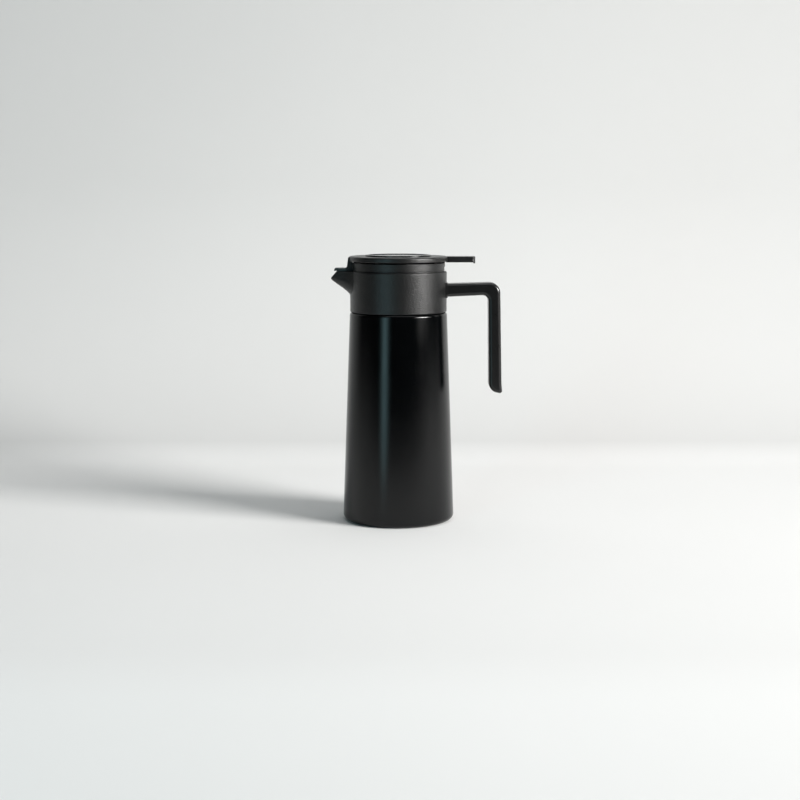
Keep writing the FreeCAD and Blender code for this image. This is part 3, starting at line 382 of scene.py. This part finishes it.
def lathe_place(finish, place, along, around):
    """A point as angle, distance and height, each stretched for a brush that runs round the axis."""
    nodes, links = finish.node_tree.nodes, finish.node_tree.links
    parts = nodes.new("ShaderNodeSeparateXYZ")
    links.new(place, parts.inputs["Vector"])
    angle = nodes.new("ShaderNodeMath")
    angle.operation = "ARCTAN2"
    links.new(parts.outputs["Y"], angle.inputs[0])
    links.new(parts.outputs["X"], angle.inputs[1])
    joined = nodes.new("ShaderNodeCombineXYZ")
    links.new(angle.outputs["Value"], joined.inputs["X"])
    links.new(ring_distance(finish, place), joined.inputs["Y"])
    links.new(parts.outputs["Z"], joined.inputs["Z"])
    stretch = nodes.new("ShaderNodeVectorMath")
    stretch.operation = "MULTIPLY"
    stretch.inputs[1].default_value = (around, along, along)
    links.new(joined.outputs["Vector"], stretch.inputs[0])
    return stretch.outputs["Vector"]


def make_brushed_steel():
    """Bare stainless steel, brushed round the axis."""
    finish, shader, place = new_finish("brushed_steel")
    links = finish.node_tree.links
    brush = add_noise(finish, lathe_place(finish, place, 2600.0, 2.5), 1.0, 3.0, 0.6)
    links.new(tint(finish, brush, (0.53, 0.53, 0.52), (0.66, 0.66, 0.65)), shader.inputs["Base Color"])
    links.new(spread(finish, brush, 0.24, 0.36), shader.inputs["Roughness"])
    shader.inputs["Metallic"].default_value = 1.0
    add_bump(finish, shader, brush, 0.00002, 0.20)
    return wear(finish, "brushed_steel")


# %% [markdown]
# Two finishes are left for pieces that mostly hide: crinkled foil in the vacuum and soft silicone seals.
# Silicone is matt with a trace of dust, and foil is bright with shallow creases.

# %% Finishes for foil and seals


def make_crinkled_foil():
    """Bright aluminium foil with shallow creases."""
    finish, shader, place = new_finish("crinkled_foil")
    links = finish.node_tree.links
    crease = add_noise(finish, place, 130.0, 4.0, 0.6)
    links.new(tint(finish, crease, (0.68, 0.68, 0.67), (0.80, 0.80, 0.79)), shader.inputs["Base Color"])
    links.new(spread(finish, crease, 0.16, 0.30), shader.inputs["Roughness"])
    shader.inputs["Metallic"].default_value = 1.0
    add_bump(finish, shader, crease, 0.0004, 0.40)
    return wear(finish, "crinkled_foil")


def make_silicone():
    """Matt dark silicone."""
    finish, shader, place = new_finish("silicone_seal")
    links = finish.node_tree.links
    dust = add_noise(finish, place, 700.0, 4.0, 0.65)
    links.new(tint(finish, dust, (0.016, 0.016, 0.017), (0.028, 0.028, 0.029)), shader.inputs["Base Color"])
    links.new(spread(finish, dust, 0.62, 0.76), shader.inputs["Roughness"])
    shader.inputs["IOR"].default_value = 1.41
    add_bump(finish, shader, dust, 0.00004, 0.25)
    return wear(finish, "silicone_seal")


finish_of_slot = {
    "shell_coat": make_satin_coat(),
    "moulded_matte": make_moulded_grain(),
    "handle_satin": make_handle_satin(),
    "plate_gloss": make_plate_gloss(),
    "bare_steel": make_brushed_steel(),
    "foil": make_crinkled_foil(),
    "seal_rubber": make_silicone(),
}
slot_of_node = {part["node"]: part["material_slot"] for part in frame["record"]["subparts"]}

# %% [markdown]
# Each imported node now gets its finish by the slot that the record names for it.
# Pieces that are rebuilt further down take the same finishes.

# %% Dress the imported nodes
for node_name, node in frame["nodes"].items():
    node.data.materials.clear()
    node.data.materials.append(finish_of_slot[slot_of_node[node_name]])
print("dressed", len(frame["nodes"]), "nodes")

# %% [markdown]
# The flask is a turned form: a rolled foot, a tapered wall, a rounded shoulder and a neck.
# A lathe is the natural way to make it: one outline of arcs and straight lines is turned about Z.
# The arcs are finely divided so that the line of light on the shoulder stays smooth.

# %% Turn the flask
LATHE_STEPS = 256
ARC_STEPS = 14


def rounded_outline(corners):
    """Round the corners of an outline of (radius, height, rounding) points in millimetres."""
    points = []
    count = len(corners)
    for i, (x, y, rounding) in enumerate(corners):
        here = Vector((x, y))
        if rounding == 0.0:
            points.append(here)
            continue
        before = (Vector(corners[i - 1][:2]) - here).normalized()
        after = (Vector(corners[(i + 1) % count][:2]) - here).normalized()
        half = before.angle(after) / 2.0
        setback = rounding / math.tan(half)
        centre = here + (before + after).normalized() * (rounding / math.sin(half))
        start, end = here + before * setback - centre, here + after * setback - centre
        turn = start.angle_signed(end)
        for step in range(ARC_STEPS + 1):
            angle = -turn * step / ARC_STEPS
            spun = Vector((start.x * math.cos(angle) - start.y * math.sin(angle),
                           start.x * math.sin(angle) + start.y * math.cos(angle)))
            points.append(centre + spun)
    return points


def lathe(name, outline):
    """Turn a closed outline about the Z axis into a smooth mesh."""
    verts, faces = [], []
    count = len(outline)
    for step in range(LATHE_STEPS):
        angle = 2.0 * math.pi * step / LATHE_STEPS
        for point in outline:
            verts.append((point.x * math.cos(angle) * MILLIMETRE,
                          point.x * math.sin(angle) * MILLIMETRE, point.y * MILLIMETRE))
    for step in range(LATHE_STEPS):
        first, second = step * count, (step + 1) % LATHE_STEPS * count
        for i in range(count):
            j = (i + 1) % count
            faces.append((first + i, second + i, second + j, first + j))
    mesh = bpy.data.meshes.new(name)
    mesh.from_pydata(verts, [], faces)
    mesh.polygons.foreach_set("use_smooth", [True] * len(faces))
    mesh.set_sharp_from_angle(angle=math.radians(32.0))
    return new_object(name, mesh)


FOOT_RADIUS, FOOT_ROUNDING, FOOT_RING = 52.5, 5.3, 46.0
SHOULDER_RADIUS, SHOULDER_HEIGHT, SHOULDER_ROUNDING = 45.5, 196.6, 3.0
NECK_RADIUS, NECK_TOP, NECK_ROUNDING = 36.0, 224.2, 1.5
STEEL = 0.5

flask_outline = rounded_outline([
    (FOOT_RING, 0.0, 0.0),
    (FOOT_RADIUS, 0.0, FOOT_ROUNDING),
    (SHOULDER_RADIUS, SHOULDER_HEIGHT, SHOULDER_ROUNDING),
    (NECK_RADIUS, SHOULDER_HEIGHT, NECK_ROUNDING),
    (NECK_RADIUS, NECK_TOP, 0.0),
    (NECK_RADIUS - STEEL, NECK_TOP, 0.0),
    (NECK_RADIUS - STEEL, SHOULDER_HEIGHT - STEEL, NECK_ROUNDING + STEEL),
    (SHOULDER_RADIUS - STEEL, SHOULDER_HEIGHT - STEEL, SHOULDER_ROUNDING - STEEL),
    (FOOT_RADIUS - STEEL, STEEL, FOOT_ROUNDING - STEEL),
    (FOOT_RING, STEEL, 0.0),
])
flask_shell = lathe("flask_shell", flask_outline)
flask_shell.data.materials.append(finish_of_slot["shell_coat"])
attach(flask_shell, "flask")
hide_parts("outer_shell")
print("flask_shell", len(flask_shell.data.polygons), "faces")

# %% [markdown]
# A torsion spring closes the flap. One leg stands in the lid, the other lifts the flap,
# so when the flap tilts the coil winds up a little.
# Here the imported spring's mesh is copied into an object of its own with its place baked in,
# and the imported spring is hidden.

# %% Copy the spring
packed_spring = frame["nodes"]["return_spring"]
spring_mesh = packed_spring.data.copy()
spring_mesh.transform(packed_spring.matrix_world)
closing_spring = new_object("closing_spring", spring_mesh)
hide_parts("return_spring")
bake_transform(closing_spring)

# %% [markdown]
# Light is what makes black readable. A large softbox far off on the right is the main light,
# with a grid that keeps its beam on the carafe. It hangs high enough to shine past the upright wall
# and still light the rounded shoulder, the lid and the collar.
# A tall cool strip on the left draws one soft line down the flask,
# and a wide panel overhead lifts the paper without showing in the upright sides.

# %% Hang the lights


def aim(lamp, target):
    """Turn a lamp so that it looks at a point."""
    lamp.rotation_euler = (Vector(target) - lamp.location).to_track_quat("-Z", "Y").to_euler()


def area_lamp(name, place, target, width, height, watts, colour, beam=180.0):
    """A rectangular lamp of that size in metres, whose grid narrows its beam to that angle."""
    data = bpy.data.lights.new(name, "AREA")
    data.shape = "RECTANGLE"
    data.size = width
    data.size_y = height
    data.energy = watts
    data.color = colour
    data.spread = math.radians(beam)
    lamp = bpy.data.objects.new(name, data)
    lamp.location = place
    scene.collection.objects.link(lamp)
    aim(lamp, target)
    print(name, watts, "watts")


area_lamp("key_softbox", (2.62, -1.455, 1.19), (-0.12, 0.05, 0.15), 1.38, 0.75,
          30.5, (1.0, 0.99, 0.97), 70.0)
area_lamp("cool_strip", (-0.76, -1.28, 0.40), (0.0, 0.0, 0.40), 0.22, 1.5, 3.8, (0.55, 0.92, 1.0))
area_lamp("overhead_panel", (0.2, 0.1, 2.2), (0.1, 0.1, 0.0), 2.2, 2.0, 19.0, (0.98, 0.99, 1.0))

world = bpy.data.worlds.new("dim_room")
world.use_nodes = True
world.node_tree.nodes["Background"].inputs["Color"].default_value = (0.9, 0.95, 1.0, 1.0)
world.node_tree.nodes["Background"].inputs["Strength"].default_value = 0.02
scene.world = world
